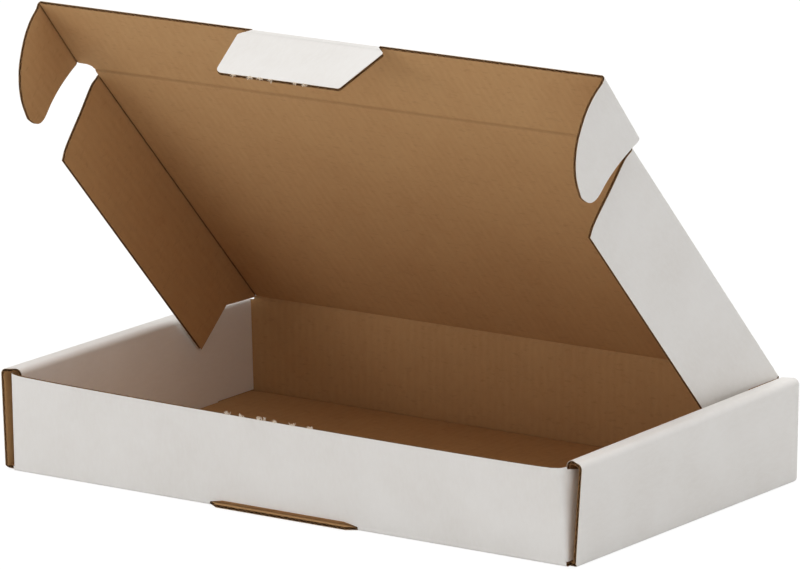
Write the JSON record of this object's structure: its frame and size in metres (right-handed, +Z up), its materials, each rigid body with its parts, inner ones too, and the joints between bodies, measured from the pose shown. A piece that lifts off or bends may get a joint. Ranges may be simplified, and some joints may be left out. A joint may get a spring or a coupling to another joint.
{
  "type": "corrugated mailer box",
  "caption": "Shallow corrugated mailer box, white outside and brown inside, folded from one die-cut sheet, with a hinged lid, side flaps, hooked ears and a lock tab for the front slot.",
  "frame": {"origin": "middle of the tray's footprint, on the surface that it stands on", "axes": "+X across the box to the right seen from its front, +Y to the back wall and the lid's fold, +Z up"},
  "size_m": [0.2686, 0.1545, 0.1807],
  "materials": {
    "board": "matte"
  },
  "bodies": {
    "tray": {"tray": "board"},
    "lid": {"lid": "board"},
    "front_flap": {"front_flap": "board"},
    "left_ear": {"left_ear": "board"},
    "right_ear": {"right_ear": "board"},
    "left_side_flap": {"left_side_flap": "board"},
    "right_side_flap": {"right_side_flap": "board"},
    "lock_tab": {"lock_tab": "board"}
  },
  "joints": [
    {"name": "lid_fold", "type": "hinge", "parent": "tray", "child": "lid", "pos_m": [0, 0.07455, 0.0405], "axis": [1, 0, 0], "range_deg": [-133, 47]},
    {"name": "front_flap_fold", "type": "hinge", "parent": "lid", "child": "front_flap", "pos_m": [0, -0.0283, 0.15079], "axis": [1, 0, 0], "range_deg": [-12.5, 92.5]},
    {"name": "left_ear_fold", "type": "hinge", "parent": "front_flap", "child": "left_ear", "pos_m": [-0.1301, -0.04128, 0.166], "axis": [0, -0.6494, 0.7604], "range_deg": [-90, 0]},
    {"name": "right_ear_fold", "type": "hinge", "parent": "front_flap", "child": "right_ear", "pos_m": [0.1301, -0.04128, 0.166], "axis": [0, 0.6494, -0.7604], "range_deg": [-90, 0]},
    {"name": "left_side_flap_fold", "type": "hinge", "parent": "lid", "child": "left_side_flap", "pos_m": [-0.1228, 0.0263, 0.09122], "axis": [0, -0.682, 0.7314], "range_deg": [0, 80]},
    {"name": "right_side_flap_fold", "type": "hinge", "parent": "lid", "child": "right_side_flap", "pos_m": [0.1228, 0.0263, 0.09122], "axis": [0, 0.682, -0.7314], "range_deg": [-5, 75]},
    {"name": "lock_tab_fold", "type": "hinge", "parent": "front_flap", "child": "lock_tab", "pos_m": [0, -0.0531, 0.17984], "axis": [1, 0, 0], "range_deg": [-75, 15]}
  ]
}
